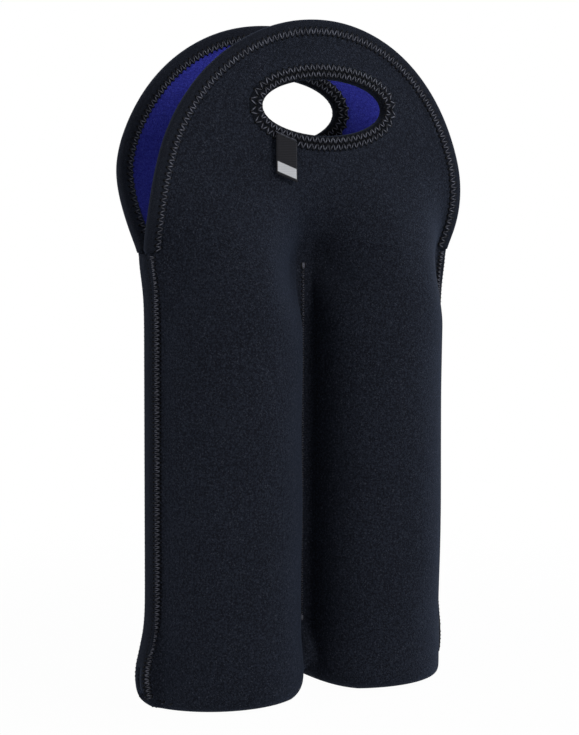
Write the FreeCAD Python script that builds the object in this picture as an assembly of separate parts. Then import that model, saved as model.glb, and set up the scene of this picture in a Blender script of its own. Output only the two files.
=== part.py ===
# Soft carrier for two bottles: a front and a back foam sheet, lined, sewn together at both sides
# and along the middle into two round tubes. Above the mouth each sheet rises as a round handle
# lobe with a hand hole. Millimetres, +Z up, front towards -Y, origin on the floor in the middle.
import math
import os

import FreeCAD
import Part

Vector = FreeCAD.Vector

# Sheets
sheet_thickness = 3.1         # foam sheet with its knit face
lining_thickness = 0.5        # knit lining inside
lining_gap = 0.4              # glue between the foam and the lining
layer_gap = 0.1               # from a binding to the sheet that it is sewn to
tape_gap = 0.2                # from the side bindings to the sheets that they hold
seam_half_gap = 0.3           # from the mid-plane to the lining where the two sheets are sewn
butt_gap = 0.15               # from the mid-plane to the nearest edge of each sheet
split_gap = 0.05              # from a split height to the pieces above and below it
neck_gap = 0.6                # from the mouth's height to the neck above it

# Tubes
tube_radius = 42.5            # outside of a tube with a bottle in it
seam_flat = 2.0               # half width of the flat strip at the centre seam
seam_fillet = 4.0             # radius where a tube runs into a seam
side_flange = 2.2             # flat strip outside each tube at the side seam
base_rounding = 14.0          # height of the rounded lower edge of the tubes
base_squareness = 4.5         # exponent of the base's profile, 2 is round
foot_height = 60.0            # the walls are upright from here to where the tubes fade
base_cut = 0.3                # trimmed off the crown of the base so that it stands flat
notch_rise = 18.0             # height of the round rise of the base between the tubes
notch_width = 28.0            # width of that rise on each side of the centre
corner_rise = 16.0            # height of the round rise at the side seams
corner_width = 18.0
corner_share = 0.93           # how much of the quarter round is used before the edge
seam_spread = 8.0             # how far each sheet swells forward below the centre seam
ear_reach = 6.5               # how far the side seams stand out near the floor
ear_height = 18.0
ear_spread = 20.0

# Neck and handle lobes
mouth_height = 249.0          # where the side seams end
tube_fade_start = 215.0       # where the tubes' crowns start to lean in
wave_start = 205.0            # where the crease between the tubes starts to widen, up to the mouth
outer_fullness = 1.6          # the tubes stay fuller on their outer sides there, 1 is even
mouth_flare = 3.0             # how far the side seams stand out at the mouth
flare_spread = 18.0
lobe_form_height = 300.0      # where the tubes have faded into the lobe
neck_top = 285.0              # the sheet bends below this height
lobe_height = 292.0           # where a lobe is widest
lobe_overhang = 2.0           # how much wider than the mouth a lobe is, on each side
lobe_rise = 84.5              # from the widest place to the top
lobe_depth = 27.0             # a lobe's outer face from the mid-plane, at its middle
lobe_crown = 8.0              # how much nearer the mid-plane its edges are
front_lean = -8.5             # how much further out the top of the front lobe is
back_lean = 7.0
hole_height = 329.0
hole_half_width = 39.5
hole_half_height = 16.0

# Bindings and stitching
binding_thickness = 0.8
rim_binding_width = 9.0
hole_binding_width = 7.5
side_binding_width = 3.0
binding_lift = 3.0            # rim bindings start this far above the mouth's corners
side_binding_foot = 30.0      # lower end of the side bindings
stitch_gap = 0.2
stitch_thickness = 0.5
stitch_width = 2.4
side_stitch_width = 1.8
seam_bottom = 42.0            # lower end of the centre seam
seam_top = 240.0
bartack_height = 2.5
bartack_width = 3.2
bartack_thickness = 0.8

# Label
label_width = 13.0
label_length = 20.0
label_thickness = 0.8
label_x = -24.0
label_clearance = 0.4         # from the label to the binding behind it
label_stitch_height = 1.6

# How finely the curved sheets are drawn
fillet_steps = 6
tube_steps = 20
flange_steps = 3
foot_steps = 28
fine_foot_steps = 240
wall_steps = 13
lobe_columns = 44
lobe_rows = 18
curve_steps = 24
slab_margin = 7.0             # the lobe sheets are drawn this much too large, then cut
neck_margin = 2.0             # and this much too low
end_margin = 1.0              # the side bindings are hollowed past their ends by this much

# Worked out
sheet_total = sheet_thickness + lining_gap + lining_thickness
seam_depth = seam_half_gap + sheet_total
fillet_angle = math.asin((seam_depth + seam_fillet) / (tube_radius + seam_fillet))
fillet_reach = (tube_radius + seam_fillet) * math.cos(fillet_angle)
tube_offset = seam_flat + fillet_reach
flange_start = tube_offset + fillet_reach
half_width = flange_start + side_flange
lining_half_width = tube_offset + tube_radius * math.cos(fillet_angle)
mouth_half_width = half_width + mouth_flare
lobe_half_width = mouth_half_width + lobe_overhang
lobe_top = lobe_height + lobe_rise
corner_height = corner_rise * (1 - math.sqrt(1 - corner_share ** 2))
fillet_length = seam_fillet * (math.pi / 2 - fillet_angle)
arc_length = tube_radius * (math.pi - 2 * fillet_angle)
binding_face = layer_gap + binding_thickness
far = 2 * lobe_top            # past every piece, for cutting shapes


def clamp(value):
    return min(max(value, 0.0), 1.0)


def smooth(value):
    t = clamp(value)
    return t * t * (3 - 2 * t)


# Outline of the tubes seen from above: x and depth at a length along it from the centre seam
def plan(length):
    side = 1 if length >= 0 else -1
    rest = abs(length)
    if rest <= seam_flat:
        return side * rest, seam_depth
    rest -= seam_flat
    if rest <= fillet_length:
        turn = rest / seam_fillet
        x = seam_flat + seam_fillet * math.sin(turn)
        return side * x, seam_depth + seam_fillet * (1 - math.cos(turn))
    rest -= fillet_length
    if rest <= arc_length:
        angle = math.pi - fillet_angle - rest / tube_radius
        x = tube_offset + tube_radius * math.cos(angle)
        return side * x, tube_radius * math.sin(angle)
    rest -= arc_length
    if rest <= fillet_length:
        turn = (fillet_length - rest) / seam_fillet
        x = flange_start - seam_fillet * math.sin(turn)
        return side * x, seam_depth + seam_fillet * (1 - math.cos(turn))
    rest -= fillet_length
    return side * (flange_start + rest), seam_depth


# Lengths of the columns along that outline, closer together at the ends of each run
def plan_lengths():
    runs = [(seam_flat, 1), (fillet_length, fillet_steps), (arc_length, tube_steps)]
    runs += [(fillet_length, fillet_steps), (side_flange, flange_steps)]
    lengths = [0.0]
    for run, steps in runs:
        start = lengths[-1]
        lengths += [start + run * smooth(i / steps) for i in range(1, steps + 1)]
    return [-s for s in reversed(lengths[1:])] + lengths


def fullness(depth):
    return (depth - seam_depth) / (tube_radius - seam_depth)


def lobe_face(x, z, lean):
    leant = lean * (z - mouth_height) / (lobe_top - mouth_height)
    return lobe_depth + leant - lobe_crown * (x / lobe_half_width) ** 2


# Soft outline that the tubes take where they are no longer sewn: one wave for each tube
def wave(x):
    share = clamp(abs(abs(x) - tube_offset) / fillet_reach)
    if abs(x) > tube_offset:
        share **= outer_fullness
    return seam_depth + (tube_radius - seam_depth) * (1 + math.cos(math.pi * share)) / 2


# Depth of the outer face at a height: the tubes fade into the lobe, and the seams part at the mouth.
# A sheet's lean counts above the mouth only.
def sheet_depth(x, depth, z, above_mouth, lean):
    softness = smooth((z - wave_start) / (mouth_height - wave_start))
    depth += (wave(x) - depth) * softness
    full = fullness(depth)
    start = mouth_height + (tube_fade_start - mouth_height) * full
    t = min((z - start) / (lobe_form_height - start), 1.0)
    if not above_mouth:
        t = max(t, 0.0)
    fade = full * smooth(t) + (1 - full) * (1 - (1 - t) ** 2)
    return depth + (lobe_face(x, z, lean) - depth) * fade


# How far the sheets part again between the tubes, below the centre seam
def spread(x, depth):
    if abs(x) > tube_offset:
        return 0.0
    return seam_spread * (1 - fullness(depth)) ** 2


# How far the side seams stand out, near the floor and at the mouth
def stand_out(z):
    ear = ear_reach * math.exp(-((z - ear_height) / ear_spread) ** 2)
    return ear + mouth_flare * math.exp(-((z - mouth_height) / flare_spread) ** 2)


# Where a column of the sheet's plan lies at a height, with its seam standing out
def flared(x, z):
    share = clamp((abs(x) - flange_start) / side_flange)
    return x + math.copysign(stand_out(z) * share, x)


# Lower edge of the sheets at the mid-plane: flat under the tubes, rounded at the notch and the sides
def base_line(x):
    if abs(x) > tube_offset:
        from_end = half_width + stand_out(corner_height) - abs(flared(x, corner_height))
        width, rise = corner_width, corner_rise
    else:
        from_end = abs(x)
        width, rise = notch_width, notch_rise
    share = corner_share * clamp(1 - from_end / width)
    return (rise + base_cut) * (1 - math.sqrt(1 - share ** 2)) - base_cut


def base_slope(x):
    left = x - layer_gap
    right = x + layer_gap
    run = flared(right, corner_height) - flared(left, corner_height)
    return (base_line(right) - base_line(left)) / run


# Evenly spaced points along a line of points
def even_points(line, steps):
    along = [0.0]
    for a, b in zip(line, line[1:]):
        along.append(along[-1] + math.dist(a, b))
    even = []
    k = 0
    for i in range(steps + 1):
        target = along[-1] * i / steps
        while k < len(line) - 2 and along[k + 1] < target:
            k += 1
        t = (target - along[k]) / (along[k + 1] - along[k])
        even.append([p + (q - p) * t for p, q in zip(line[k], line[k + 1])])
    return even


# Profile of the base, out from the mid-plane and up to the wall
def foot_profile(depth, height, squareness):
    line = []
    for i in range(fine_foot_steps + 1):
        angle = math.pi / 2 * i / fine_foot_steps
        out = depth * math.sin(angle) ** (2 / squareness)
        up = height * (1 - abs(math.cos(angle)) ** (2 / squareness))
        line.append((out, up))
    return line


# Outer face of the front sheet from the base's middle up to the mouth, as columns of points
def panel_grid():
    seam_foot = seam_bottom - bartack_height - 2 * stitch_gap
    grid = []
    for length in plan_lengths():
        x, depth = plan(length)
        floor = base_line(x)
        parted = spread(x, depth)
        bulk = math.sqrt(fullness(depth + parted))
        rise = seam_depth + (base_rounding - seam_depth) * bulk
        rise *= math.hypot(1, base_slope(x))
        squareness = 2 + (base_squareness - 2) * bulk
        top = floor + rise
        line = [(out, floor + up) for out, up in foot_profile(depth + parted, rise, squareness)]
        for i in range(1, foot_steps + 1):
            z = top + (foot_height - top) * i / foot_steps
            line.append((depth + parted * (1 - smooth((z - top) / (seam_foot - top))), z))
        column = even_points(line, foot_steps)
        for i in range(1, wall_steps + 1):
            z = foot_height + (mouth_height - foot_height) * i / wall_steps
            column.append((sheet_depth(x, depth, z, False, 0), z))
        grid.append([Vector(flared(x, z), -out, z) for out, z in column])
    return grid


# Outer face of a sheet above the mouth, facing front, larger than the lobe on every side
def lobe_grid(lean):
    low = mouth_height - neck_margin
    high = lobe_top + slab_margin
    reach = lobe_half_width + slab_margin
    grid = []
    for i in range(lobe_columns + 1):
        x = reach * (2 * i / lobe_columns - 1)
        heights = [low + (high - low) * j / lobe_rows for j in range(lobe_rows + 1)]
        grid.append([Vector(x, -sheet_depth(x, wave(x), z, True, lean), z) for z in heights])
    return grid


def tangent(before, here, after):
    if before is None:
        return after - here
    if after is None:
        return here - before
    first = here - before
    second = after - here
    return first * (second.Length / first.Length) + second * (first.Length / second.Length)


# The grid moved inwards, square to its face
def inset(grid, distance):
    moved = []
    last_column = len(grid) - 1
    for i, column in enumerate(grid):
        last_row = len(column) - 1
        line = []
        for j, here in enumerate(column):
            left = grid[i - 1][j] if i > 0 else None
            right = grid[i + 1][j] if i < last_column else None
            below = column[j - 1] if j > 0 else None
            above = column[j + 1] if j < last_row else None
            normal = tangent(below, here, above).cross(tangent(left, here, right))
            normal.normalize()
            line.append(here + normal * distance)
        moved.append(line)
    return moved


# Share of the way along each line of points, averaged over all lines
def shared_parameters(lines):
    total = [0.0] * len(lines[0])
    for line in lines:
        along = [0.0]
        for a, b in zip(line, line[1:]):
            along.append(along[-1] + a.distanceToPoint(b))
        total = [t + length / along[-1] for t, length in zip(total, along)]
    return [t / len(lines) for t in total]


def curve_through(points, parameters):
    curve = Part.BSplineCurve()
    curve.interpolate(Points=points, Parameters=parameters)
    return curve


# Smooth surface through a grid: curves up its columns, then curves across through their poles
def surface_through(grid):
    up_parameters = shared_parameters(grid)
    across_parameters = shared_parameters([list(row) for row in zip(*grid)])
    up = [curve_through(column, up_parameters) for column in grid]
    pole_rows = [list(row) for row in zip(*[curve.getPoles() for curve in up])]
    across = [curve_through(row, across_parameters) for row in pole_rows]
    poles = [list(column) for column in zip(*[curve.getPoles() for curve in across])]
    surface = Part.BSplineSurface()
    surface.buildFromPolesMultsKnots(
        poles, across[0].getMultiplicities(), up[0].getMultiplicities(),
        across[0].getKnots(), up[0].getKnots(), False, False, across[0].Degree, up[0].Degree)
    return surface


def border(surface):
    low_u, high_u, low_v, high_v = surface.bounds()
    curves = [surface.uIso(low_u), surface.uIso(high_u), surface.vIso(low_v), surface.vIso(high_v)]
    return [curve.toShape() for curve in curves]


# Closed layer between two depths below the grid's face
def layer(grid, near, deep):
    surfaces = [surface_through(inset(grid, distance)) for distance in (near, deep)]
    faces = [surface.toShape() for surface in surfaces]
    for edge_a, edge_b in zip(border(surfaces[0]), border(surfaces[1])):
        faces.append(Part.makeRuledSurface(edge_a, edge_b))
    shell = Part.makeShell(faces)
    shell.sewShape()
    solid = Part.makeSolid(shell)
    if solid.Volume < 0:
        solid.reverse()
    return solid


def block(low, high):
    size = [b - a for a, b in zip(low, high)]
    return Part.makeBox(size[0], size[1], size[2], Vector(*low))


# What lies on the front side of the mid-plane between two heights
def front_between(shape, low, high):
    return shape.common(block((-far, -far, low), (far, -butt_gap, high)))


# The left half of a shape and its mirror image
def both_sides(shape):
    left = shape.common(block((-far, -far, -far), (0, far, far)))
    right = left.mirror(Vector(0, 0, 0), Vector(1, 0, 0))
    return Part.Compound(left.Solids + right.Solids)


def rim_half_width(z):
    drop = (lobe_height - z) / (lobe_height - mouth_height)
    return lobe_half_width - lobe_overhang * drop ** 2


def half_ellipse(half_x, half_z, height):
    centre = Vector(0, 0, height)
    right = Vector(half_x, 0, height)
    top = Vector(0, 0, height + half_z)
    if half_x >= half_z:
        return Part.ArcOfEllipse(Part.Ellipse(right, top, centre), 0, math.pi)
    left = Vector(-half_x, 0, height)
    return Part.ArcOfEllipse(Part.Ellipse(top, left, centre), -math.pi / 2, math.pi / 2)


def through_sheets(edges):
    face = Part.Face(Part.Wire(Part.__sortEdges__(edges)))
    face.translate(Vector(0, -far, 0))
    return face.extrude(Vector(0, 2 * far, 0))


# Everything inside the lobe's rim, grown or shrunk, as a cutting shape through the sheets
def rim_prism(grow):
    low = mouth_height - 2 * slab_margin
    heights = (low, (low + lobe_height) / 2, lobe_height)
    right = [Vector(rim_half_width(z) + grow, 0, z) for z in heights]
    left = [Vector(-p.x, 0, p.z) for p in right]
    over = half_ellipse(lobe_half_width + grow, lobe_rise + grow, lobe_height)
    edges = [Part.Arc(*right).toShape(), over.toShape(), Part.Arc(*left).toShape()]
    edges.append(Part.LineSegment(right[0], left[0]).toShape())
    return through_sheets(edges)


def hole_prism(grow):
    upper = half_ellipse(hole_half_width + grow, hole_half_height + grow, hole_height).toShape()
    lower = upper.mirror(Vector(0, 0, hole_height), Vector(0, 0, 1))
    return through_sheets(upper.Edges + lower.Edges)


# Two bands of thread, on the outer and the inner face of a binding
def thread_bands(grid, outside, inside):
    start = binding_face + stitch_gap
    end = start + stitch_thickness
    bands = []
    for near, deep in ((-end, -start), (sheet_total + start, sheet_total + end)):
        bands.append(layer(grid, near, deep).common(outside).cut(inside))
    return Part.Compound(bands)


parts = {}

# Front sheet and its lining up to the mouth. The lining stops where a tube meets the side seam.
grid = panel_grid()
parts["front_panel"] = front_between(layer(grid, 0, sheet_thickness), 0, far)
inside = layer(grid, sheet_thickness + lining_gap, sheet_total)
tubes_only = block((-lining_half_width, -far, 0), (lining_half_width, -butt_gap, far))
parts["front_lining"] = inside.common(tubes_only)

# The back is the front mirrored
def to_back(shape):
    return shape.mirror(Vector(0, 0, 0), Vector(0, 1, 0))


parts["back_panel"] = to_back(parts["front_panel"])
parts["back_lining"] = to_back(parts["front_lining"])


# One lobe, facing front: sheet, lining, bound rim and hole, and their stitching, split at the neck
def lobe_pieces(lean):
    grid = lobe_grid(lean)
    hole = hole_prism(0)
    sheet = layer(grid, 0, sheet_thickness).common(rim_prism(0)).cut(hole)
    lining = layer(grid, sheet_thickness + lining_gap, sheet_total).common(rim_prism(0)).cut(hole)
    wrap = layer(grid, -binding_face, sheet_total + binding_face)
    core = layer(grid, -layer_gap, sheet_total + layer_gap)
    rim = wrap.common(rim_prism(binding_face)).cut(rim_prism(-rim_binding_width))
    rim = rim.cut(core.common(rim_prism(layer_gap)))
    ring = wrap.common(hole_prism(hole_binding_width)).cut(hole_prism(-binding_face))
    ring = ring.cut(core.cut(hole_prism(-layer_gap)))
    thread_edge = hole_binding_width - stitch_width
    rim_thread = thread_bands(grid, rim_prism(stitch_width - rim_binding_width), rim_prism(-rim_binding_width))
    hole_thread = thread_bands(grid, hole_prism(hole_binding_width), hole_prism(thread_edge))
    mouth = mouth_height + neck_gap
    bound_mouth = mouth_height + binding_lift
    fold = neck_top - split_gap
    above_fold = neck_top + split_gap
    return {
        "neck": front_between(sheet, mouth, fold),
        "neck_lining": front_between(lining, mouth, fold),
        "rim_binding_ends": both_sides(front_between(rim, bound_mouth, fold)),
        "rim_stitching_ends": both_sides(front_between(rim_thread, bound_mouth, fold)),
        "handle": front_between(sheet, above_fold, far),
        "handle_lining": front_between(lining, above_fold, far),
        "rim_binding": front_between(rim, above_fold, far),
        "rim_stitching": front_between(rim_thread, above_fold, far),
        "hole_binding": ring,
        "hole_stitching": hole_thread,
    }


for name, shape in lobe_pieces(front_lean).items():
    parts[f"front_{name}"] = shape
for name, shape in lobe_pieces(back_lean).items():
    parts[f"back_{name}"] = to_back(shape)


# Strip along the right side seam, in front view, between two distances in from the edge
def side_strip(inner, outer, low, high, depth):
    lines = []
    for distance in (inner, outer):
        heights = [low + (high - low) * i / curve_steps for i in range(curve_steps + 1)]
        curve = Part.BSplineCurve()
        curve.interpolate([Vector(half_width + stand_out(z) - distance, 0, z) for z in heights])
        lines.append(curve)
    ends = []
    for pick in (lambda curve: curve.StartPoint, lambda curve: curve.EndPoint):
        ends.append(Part.LineSegment(pick(lines[0]), pick(lines[1])).toShape())
    face = Part.Face(Part.Wire(Part.__sortEdges__([line.toShape() for line in lines] + ends)))
    face.translate(Vector(0, -depth, 0))
    return face.extrude(Vector(0, 2 * depth, 0))


# Side bindings fold round the sewn edges of both sheets, with a line of stitches on each face
low = side_binding_foot
high = mouth_height - 2 * split_gap
tape_face = tape_gap + binding_thickness
tape = side_strip(side_binding_width, -tape_face, low, high, seam_depth + tape_face)
held = side_strip(side_binding_width + end_margin, -tape_gap, low - end_margin, high + end_margin,
                  seam_depth + tape_gap)
tape = tape.cut(held)
stitch_face = seam_depth + tape_face + stitch_gap
thread = side_strip(side_binding_width, side_binding_width - side_stitch_width, low, high,
                    stitch_face + stitch_thickness)
thread = thread.cut(block((0, -stitch_face, 0), (far, stitch_face, far)))
for side, turn in (("right", False), ("left", True)):
    for name, shape in (("binding", tape), ("stitching", thread)):
        placed = shape.mirror(Vector(0, 0, 0), Vector(1, 0, 0)) if turn else shape
        parts[f"{side}_side_{name}"] = placed

# Centre seam: a line of stitches on each face, with a bartack at each end
seam_face = seam_depth + stitch_gap
half_stitch = stitch_width / 2
half_tack = bartack_width / 2
line = []
tacks = []
for side in (-1, 1):
    faces = sorted((side * seam_face, side * (seam_face + stitch_thickness)))
    line.append(block((-half_stitch, faces[0], seam_bottom), (half_stitch, faces[1], seam_top)))
    faces = sorted((side * seam_face, side * (seam_face + bartack_thickness)))
    for z in (seam_bottom - stitch_gap - bartack_height, seam_top + stitch_gap):
        tacks.append(block((-half_tack, faces[0], z), (half_tack, faces[1], z + bartack_height)))
parts["centre_seam_stitching"] = Part.Compound(line)
parts["centre_seam_bartacks"] = Part.Compound(tacks)

# Label: a bare tab sewn by its top edge to the lower edge of the front hole's binding
seat_inset = hole_binding_width - stitch_width - label_stitch_height - label_clearance
seat_half_width = hole_half_width + seat_inset
seat_half_height = hole_half_height + seat_inset


def seat_height(x):
    return hole_height - seat_half_height * math.sqrt(1 - (x / seat_half_width) ** 2)


# Upright slab over the label's width, under the slanting line along the hole, between two depths
def label_slab(top_drop, bottom_drop, near, deep):
    corners = []
    for x, drop in ((label_left, top_drop), (label_right, top_drop),
                    (label_right, bottom_drop), (label_left, bottom_drop)):
        slant = label_slope * (x - label_x)
        corners.append(Vector(x, -deep, seat_height(label_x) + slant - drop))
    wire = Part.makePolygon(corners + corners[:1])
    return Part.Face(wire).extrude(Vector(0, deep - near, 0))


label_left = label_x - label_width / 2
label_right = label_x + label_width / 2
label_slope = (seat_height(label_right) - seat_height(label_left)) / label_width
binding_front = lobe_face(0, seat_height(label_x), front_lean) + binding_face + stitch_gap
label_back = binding_front + stitch_thickness + label_clearance
label_front = label_back + label_thickness
parts["label_stitching"] = label_slab(0, label_stitch_height, binding_front, label_front)
label_drop = label_stitch_height + stitch_gap
parts["label"] = label_slab(label_drop, label_drop + label_length, label_back, label_front)

os.makedirs("parts", exist_ok=True)
for name, shape in parts.items():
    shape.exportStep(f"parts/{name}.step")
    box = shape.BoundBox
    print(name, "solids", len(shape.Solids), "valid", shape.isValid(), "volume", round(shape.Volume),
          "x", round(box.XMin, 1), round(box.XMax, 1), "y", round(box.YMin, 1), round(box.YMax, 1),
          "z", round(box.ZMin, 1), round(box.ZMax, 1))
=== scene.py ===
import math

import bpy
import numpy as np
from mathutils import Matrix, Vector
from mathutils.bvhtree import BVHTree


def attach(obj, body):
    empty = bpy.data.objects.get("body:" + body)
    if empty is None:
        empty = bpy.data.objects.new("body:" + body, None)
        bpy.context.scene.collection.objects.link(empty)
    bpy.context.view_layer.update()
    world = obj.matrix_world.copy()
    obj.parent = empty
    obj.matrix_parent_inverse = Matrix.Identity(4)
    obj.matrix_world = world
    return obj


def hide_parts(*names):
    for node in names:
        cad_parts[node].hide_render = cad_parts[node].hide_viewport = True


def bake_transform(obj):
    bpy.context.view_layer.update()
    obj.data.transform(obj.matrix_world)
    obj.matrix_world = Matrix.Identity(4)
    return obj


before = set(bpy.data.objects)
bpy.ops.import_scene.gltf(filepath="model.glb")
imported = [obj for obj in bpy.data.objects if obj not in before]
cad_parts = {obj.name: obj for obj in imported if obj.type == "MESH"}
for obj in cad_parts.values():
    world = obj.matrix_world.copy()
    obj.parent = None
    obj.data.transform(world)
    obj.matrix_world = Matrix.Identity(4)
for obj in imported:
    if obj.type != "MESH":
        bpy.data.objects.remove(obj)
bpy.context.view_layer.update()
print("frame loaded:", len(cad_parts), "CAD nodes")

# All sizes are millimetres; meshes are made in metres.
toMetres = 0.001

sheets = {
    "foam": 3.4, "lining": 0.5, "layerGap": 0.1,
    "seamGap": 0.3,             # from the mid-plane to the lining at a seam
    "buttGap": 0.15,            # from the mid-plane to each sheet's lower edge
}
tubes = {
    "radius": 42.5, "seamFlat": 2.0, "seamFillet": 4.0, "flange": 2.2,
    "baseRounding": 14.0, "baseSquareness": 4.5, "footHeight": 60.0, "baseCut": 0.3,
    "notchRise": 18.0, "notchWidth": 30.0,
    "cornerRise": 9.0, "cornerWidth": 14.0, "cornerShare": 0.93,
    "seamSpread": 8.0, "seamFoot": 39.1,
    "leftEar": 6.5, "rightEar": 3.0, "earHeight": 18.0, "earSpread": 20.0,
    "mouth": 249.0, "fadeStart": 215.0, "waveStart": 205.0, "outerFullness": 1.6,
    "flare": 3.0, "flareSpread": 18.0,
}
lobes = {
    "formHeight": 300.0, "neckTop": 285.0, "height": 271.0, "overhang": 2.0, "rise": 104.5,
    "depth": {"front": 27.0, "back": 28.0}, "crown": {"front": 8.0, "back": 8.0},
    "lean": {"front": -6.5, "back": 8.3}, "twist": {"front": 0.0, "back": -10.5},
    "holeHeight": {"front": 328.4, "back": 328.0}, "holeHalfWidth": 40.5,
    "holeHalfHeight": {"front": 16.2, "back": 19.5}, "holeX": {"front": 2.5, "back": 0.0},
    "mouthSoftness": 25.0,      # how far up and down the bend at the mouth is rounded
}
sheetTotal = sheets["foam"] + sheets["layerGap"] + sheets["lining"]
seamDepth = sheets["seamGap"] + sheetTotal
filletAngle = math.asin((seamDepth + tubes["seamFillet"]) / (tubes["radius"] + tubes["seamFillet"]))
filletReach = (tubes["radius"] + tubes["seamFillet"]) * math.cos(filletAngle)
tubeOffset = tubes["seamFlat"] + filletReach
flangeStart = tubeOffset + filletReach
halfWidth = flangeStart + tubes["flange"]
lobeHalfWidth = halfWidth + tubes["flare"] + lobes["overhang"]
lobeTop = lobes["height"] + lobes["rise"]
cornerHeight = tubes["cornerRise"] * (1 - math.sqrt(1 - tubes["cornerShare"] ** 2))
filletLength = tubes["seamFillet"] * (math.pi / 2 - filletAngle)
arcLength = tubes["radius"] * (math.pi - 2 * filletAngle)
facing = {"front": -1.0, "back": 1.0}      # which way along Y each sheet faces


def ease(value):
    t = np.clip(value, 0.0, 1.0)
    return t * t * (3 - 2 * t)


# Outline of the tubes as x and depth, at a length along it from the centre seam, less than 0 to the left
def planPoint(length):
    side = 1 if length >= 0 else -1
    rest = abs(length)
    for run, kind in ((tubes["seamFlat"], "flat"), (filletLength, "in"), (arcLength, "tube"),
                      (filletLength, "out"), (tubes["flange"] + 1, "flange")):
        if rest <= run:
            break
        rest -= run
    fillet = tubes["seamFillet"]
    if kind == "flat":
        return side * rest, seamDepth
    if kind == "tube":
        angle = math.pi - filletAngle - rest / tubes["radius"]
        return side * (tubeOffset + tubes["radius"] * math.cos(angle)), tubes["radius"] * math.sin(angle)
    if kind == "flange":
        return side * (flangeStart + rest), seamDepth
    turn = rest / fillet if kind == "in" else (filletLength - rest) / fillet
    depth = seamDepth + fillet * (1 - math.cos(turn))
    if kind == "in":
        return side * (tubes["seamFlat"] + fillet * math.sin(turn)), depth
    return side * (flangeStart - fillet * math.sin(turn)), depth


# How much of a tube's full depth is there, from 0 at a seam to 1 at the crown
def fullness(depth):
    return (depth - seamDepth) / (tubes["radius"] - seamDepth)


# Depth of the sheet's wave over both tubes at the mouth
def waveDepth(x):
    share = np.clip(np.abs(np.abs(x) - tubeOffset) / filletReach, 0, 1)
    share = share ** np.where(np.abs(x) > tubeOffset, tubes["outerFullness"], 1.0)
    return seamDepth + (tubes["radius"] - seamDepth) * (1 + np.cos(math.pi * share)) / 2


def lobeFace(x, z, side):
    across = x / lobeHalfWidth
    up = np.maximum(z - tubes["mouth"], 0) / (lobeTop - tubes["mouth"])
    swung = lobes["lean"][side] * up + lobes["twist"][side] * across * ease(2 * up)
    return lobes["depth"][side] + swung - lobes["crown"][side] * across ** 2


def hardDepth(x, depth, z, side):
    softness = ease((z - tubes["waveStart"]) / (tubes["mouth"] - tubes["waveStart"]))
    depth = depth + (waveDepth(x) - depth) * softness
    full = fullness(depth)
    start = tubes["mouth"] + (tubes["fadeStart"] - tubes["mouth"]) * full
    t = np.clip((z - start) / (lobes["formHeight"] - start), 0, 1)
    fade = full * ease(t) + (1 - full) * (1 - (1 - t) ** 2)
    return depth + (lobeFace(x, z, side) - depth) * fade


# Depth of a sheet's outer face, with the bend at the mouth rounded
def sheetDepth(x, depth, z, side):
    hard = hardDepth(x, depth, z, side)
    reach = lobes["mouthSoftness"]
    near = 1 - ease(np.abs(z - tubes["mouth"]) / reach)
    soft = sum(w * hardDepth(x, depth, z + d * reach / 3, side)
               for d, w in ((-1, 1), (-0.5, 2), (0, 3), (0.5, 2), (1, 1))) / 9
    return hard + (soft - hard) * near


# How far the side seams stand out, near the floor and at the mouth
def standOut(turn, z):
    reach = np.where(turn < 0, tubes["leftEar"], tubes["rightEar"])
    ear = reach * np.exp(-((z - tubes["earHeight"]) / tubes["earSpread"]) ** 2)
    return ear + tubes["flare"] * np.exp(-((z - tubes["mouth"]) / tubes["flareSpread"]) ** 2)


def flared(x, z):
    share = np.clip((np.abs(x) - flangeStart) / tubes["flange"], 0, 1)
    return x + np.sign(x) * standOut(x, z) * share


# Height of the sheets' lower edge, which rises at the side seams and between the tubes
def baseLine(x):
    if abs(x) > tubeOffset:
        fromEnd = halfWidth + standOut(x, cornerHeight) - abs(flared(x, cornerHeight))
        width, rise = tubes["cornerWidth"], tubes["cornerRise"]
    else:
        fromEnd, width, rise = abs(x), tubes["notchWidth"], tubes["notchRise"]
    share = tubes["cornerShare"] * min(max(1 - fromEnd / width, 0), 1)
    return (rise + tubes["baseCut"]) * (1 - math.sqrt(1 - share ** 2)) - tubes["baseCut"]


# The same line with evenly spaced points
def evenly(line, count):
    line = np.array(line, float)
    along = np.concatenate([[0], np.cumsum(np.linalg.norm(np.diff(line, axis=0), axis=1))])
    at = np.linspace(0, along[-1], count)
    return np.stack([np.interp(at, along, line[:, k]) for k in range(line.shape[1])], axis=1)


panelDetail = {"seam": 2, "fillet": 6, "tube": 40, "flange": 4, "footRows": 56, "wallRows": 88,
               "slopeStep": 0.1}
lobeDetail = {"rim": 220, "rings": 36, "holeStretch": 1.3,
              "sideSteps": 60, "archSteps": 400, "holeSteps": 720}


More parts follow.
